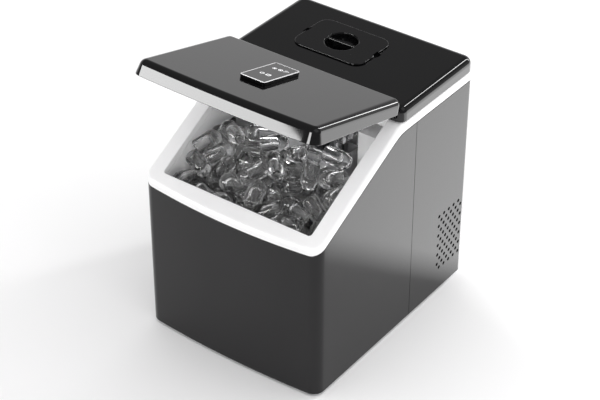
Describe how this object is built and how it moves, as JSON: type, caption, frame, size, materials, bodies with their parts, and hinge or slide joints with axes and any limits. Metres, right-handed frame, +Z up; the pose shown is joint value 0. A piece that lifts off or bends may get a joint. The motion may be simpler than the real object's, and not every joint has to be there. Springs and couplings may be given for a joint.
{
  "type": "ice maker",
  "caption": "Countertop ice maker: bowed steel cabinet with a slanted mouth, hinged lid with touch panel, lift-out ice basket, fill cap, refrigeration unit and fan.",
  "frame": {"origin": "on the floor, under the middle of the cabinet", "axes": "+X to the user's right as they face the front, +Y to the back, +Z up"},
  "size_m": [0.2454, 0.3107, 0.3556],
  "materials": {
    "graphite_steel": "satin dark grey",
    "white_plastic": "smooth white",
    "black_gloss": "gloss black",
    "black_matt": "matt black",
    "grey_plastic": "matt grey",
    "clear_plastic": "smoke clear",
    "rubber": "matt black",
    "silicone": "translucent white",
    "foam": "rigid foam",
    "galvanised": "zinc plated",
    "bright_steel": "bright",
    "black_steel": "black enamel",
    "aluminium": "plain",
    "copper": "copper tube",
    "brass": "plain",
    "board_green": "green laminate"
  },
  "bodies": {
    "cabinet": {"base_pan": "galvanised", "foot_front_left": "rubber", "foot_front_right": "rubber", "foot_rear_left": "rubber", "foot_rear_right": "rubber", "front_sheet": "graphite_steel", "rear_sheet": "graphite_steel", "top_frame": "white_plastic", "rear_cover": "black_gloss", "fill_funnel": "grey_plastic", "hinge_bracket_left": "black_matt", "hinge_bracket_right": "black_matt", "hinge_pin_left": "bright_steel", "hinge_pin_right": "bright_steel", "inner_liner": "white_plastic", "insulation": "foam", "ice_sensor_left": "black_matt", "ice_sensor_right": "black_matt", "evaporator": "bright_steel", "evaporator_bracket": "galvanised", "tray_drive": "black_matt", "tray_bearing": "grey_plastic", "pump_body": "black_matt", "water_hose": "silicone", "compressor": "black_steel", "compressor_plate": "galvanised", "grommet_1": "rubber", "grommet_2": "rubber", "grommet_3": "rubber", "condenser_fins": "aluminium", "condenser_coil": "copper", "fan_shroud": "black_matt", "fan_motor": "bright_steel", "filter_drier": "copper", "hot_gas_valve": "brass", "discharge_tube": "copper", "liquid_tube": "copper", "capillary_tube": "copper", "evaporator_inlet_tube": "copper", "suction_tube": "copper", "board_carrier": "black_matt", "control_board": "board_green", "transformer": "galvanised", "cord_gland": "black_matt", "drain_spout": "white_plastic"},
    "lid": {"lid_shell": "black_gloss", "lid_liner": "grey_plastic", "control_bezel": "bright_steel", "touch_plate": "black_gloss", "display_board": "board_green", "hinge_arm_left": "bright_steel", "hinge_arm_right": "bright_steel"},
    "filler_cap": {"fill_cap": "black_gloss"},
    "basket": {"ice_basket": "clear_plastic"},
    "tray": {"water_tray": "grey_plastic"},
    "comb": {"ejector_comb": "grey_plastic"},
    "fan": {"fan_rotor": "grey_plastic"},
    "impeller": {"pump_impeller": "white_plastic"},
    "plug": {"drain_plug": "rubber"}
  },
  "joints": [
    {"name": "lid_hinge", "type": "hinge", "parent": "cabinet", "child": "lid", "pos_m": [0, 0.017, 0.293], "axis": [-1, 0, 0], "range_deg": [-43, 50]},
    {"name": "fill_cap_lift", "type": "slide", "parent": "cabinet", "child": "filler_cap", "axis": [0, 0, 1], "range_m": [0, 0.04]},
    {"name": "basket_lift", "type": "slide", "parent": "cabinet", "child": "basket", "axis": [0, 0, 1], "range_m": [0, 0.05]},
    {"name": "tray_tilt", "type": "hinge", "parent": "cabinet", "child": "tray", "pos_m": [0, 0.008, 0.226], "axis": [1, 0, 0], "range_deg": [0, 35]},
    {"name": "comb_swing", "type": "hinge", "parent": "cabinet", "child": "comb", "pos_m": [0, 0.019, 0.25], "axis": [-1, 0, 0], "range_deg": [0, 60]},
    {"name": "fan_spin", "type": "hinge", "parent": "cabinet", "child": "fan", "pos_m": [0.086, 0.097, 0.071], "axis": [1, 0, 0], "continuous": true},
    {"name": "impeller_spin", "type": "hinge", "parent": "cabinet", "child": "impeller", "pos_m": [-0.068, -0.002, 0.034], "axis": [0, 0, 1], "continuous": true},
    {"name": "drain_plug_pull", "type": "slide", "parent": "cabinet", "child": "plug", "axis": [-1, 0, 0], "range_m": [0, 0.02]}
  ],
  "couplings": [
    {"joint": "comb_swing", "follows": "tray_tilt", "ratio": 1.714}
  ]
}
